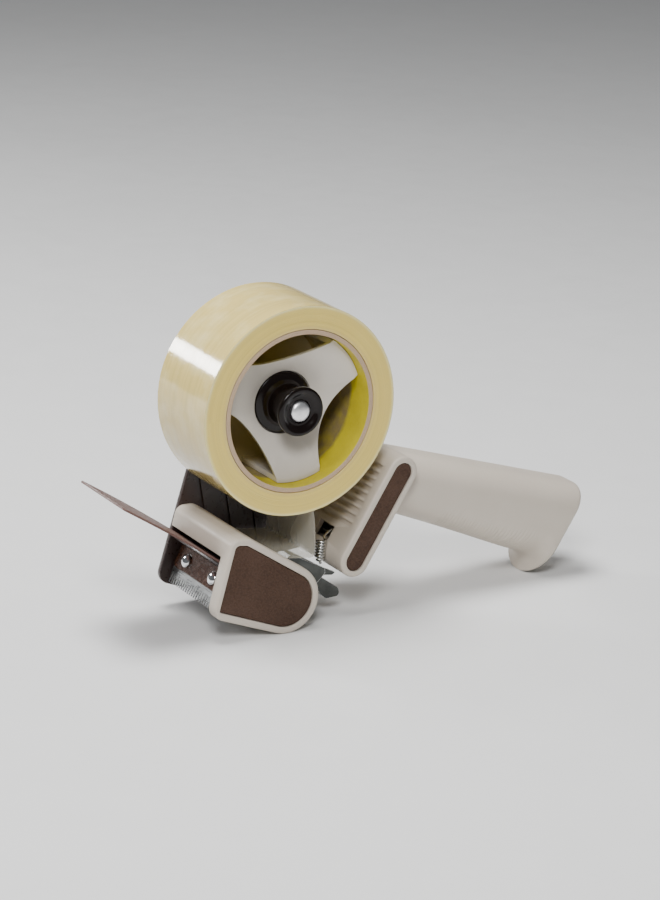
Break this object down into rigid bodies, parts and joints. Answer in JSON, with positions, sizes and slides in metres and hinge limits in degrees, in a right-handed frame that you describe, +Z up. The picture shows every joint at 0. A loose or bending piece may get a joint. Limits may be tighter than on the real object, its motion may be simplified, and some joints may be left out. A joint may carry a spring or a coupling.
{
  "type": "tape gun dispenser",
  "caption": "Hand-held packing tape dispenser with a sloping pistol grip, open-sided frame, three-armed hub holding a tape roll, toothed blade, wiper flap and sprung nip lever.",
  "frame": {"origin": "middle of the bounding box's bottom face: the surface that the nose and the heel of the grip stand on", "axes": "+X towards the grip, away from the wiper flap; +Y across the tape, towards the side plate; +Z up"},
  "size_m": [0.2712, 0.0648, 0.1613],
  "materials": {
    "frame_enamel": "dark brown semi-gloss enamel",
    "putty_plastic": "putty-coloured moulding with a very fine satin grain",
    "brown_panel": "brown insert with a pebbled grain",
    "clamp_plastic": "red-brown moulding, semi-gloss",
    "wiper_plastic": "flexible brown sheet, semi-gloss, slightly translucent",
    "zinc_steel": "zinc-plated steel, slightly dull",
    "chrome": "bright plated steel",
    "hub_plastic": "light grey satin moulding",
    "core_cardboard": "wound cardboard with a yellow lining",
    "clear_tape": "clear film wound on itself, pale yellow, glossy",
    "fibre": "vulcanised fibre",
    "black_plastic": "polished black moulding",
    "rubber": "matt black rubber"
  },
  "bodies": {
    "root": {"side_frame": "frame_enamel", "nose_housing": "putty_plastic", "nose_panel": "brown_panel", "blade_block": "frame_enamel", "blade_clamp": "clamp_plastic", "blade": "zinc_steel", "blade_screw_1": "chrome", "blade_screw_2": "chrome", "wiper_root": "wiper_plastic", "hood_screw": "chrome", "block_screw": "chrome", "roller_axle": "zinc_steel", "lever_pin": "zinc_steel", "column_screw_1": "chrome", "column_screw_2": "chrome", "handle_body": "putty_plastic", "handle_panel": "brown_panel", "handle_back_cover": "putty_plastic", "cover_screw_1": "chrome", "cover_screw_2": "chrome", "return_spring": "zinc_steel", "spring_pin": "zinc_steel", "axle": "zinc_steel", "axle_washer": "zinc_steel", "axle_nut": "zinc_steel"},
    "hub": {"tape_hub": "hub_plastic", "tape_core": "core_cardboard", "tape_roll": "clear_tape", "friction_washer": "fibre", "thrust_washer": "zinc_steel", "brake_spring": "zinc_steel"},
    "knob": {"tension_knob": "black_plastic", "knob_cap": "chrome"},
    "roller": {"guide_roller": "hub_plastic", "roller_sleeve": "rubber"},
    "lever": {"nip_lever": "zinc_steel"},
    "wiper": {"wiper_flap": "wiper_plastic"}
  },
  "joints": [
    {"name": "hub_spin", "type": "hinge", "parent": "root", "child": "hub", "pos_m": [-0.04231, 0, 0.1093], "axis": [0, 1, 0], "continuous": true},
    {"name": "knob_turn", "type": "hinge", "parent": "root", "child": "knob", "pos_m": [-0.04231, -0.015, 0.1093], "axis": [0, 1, 0], "range_deg": [-360, 360]},
    {"name": "roller_spin", "type": "hinge", "parent": "root", "child": "roller", "pos_m": [-0.06331, 0, 0.032], "axis": [0, 1, 0], "continuous": true},
    {"name": "lever_pivot", "type": "hinge", "parent": "root", "child": "lever", "pos_m": [-0.04981, 0, 0.0173], "axis": [0, 1, 0], "range_deg": [0, 8], "stiffness_Nm_per_rad": 0.5, "springref_deg": -17.19, "deforming": ["return_spring"]},
    {"name": "wiper_flex", "type": "hinge", "parent": "root", "child": "wiper", "pos_m": [-0.08381, 0, 0.0392], "axis": [0, 1, 0], "range_deg": [-8, 18], "stiffness_Nm_per_rad": 0.1}
  ]
}
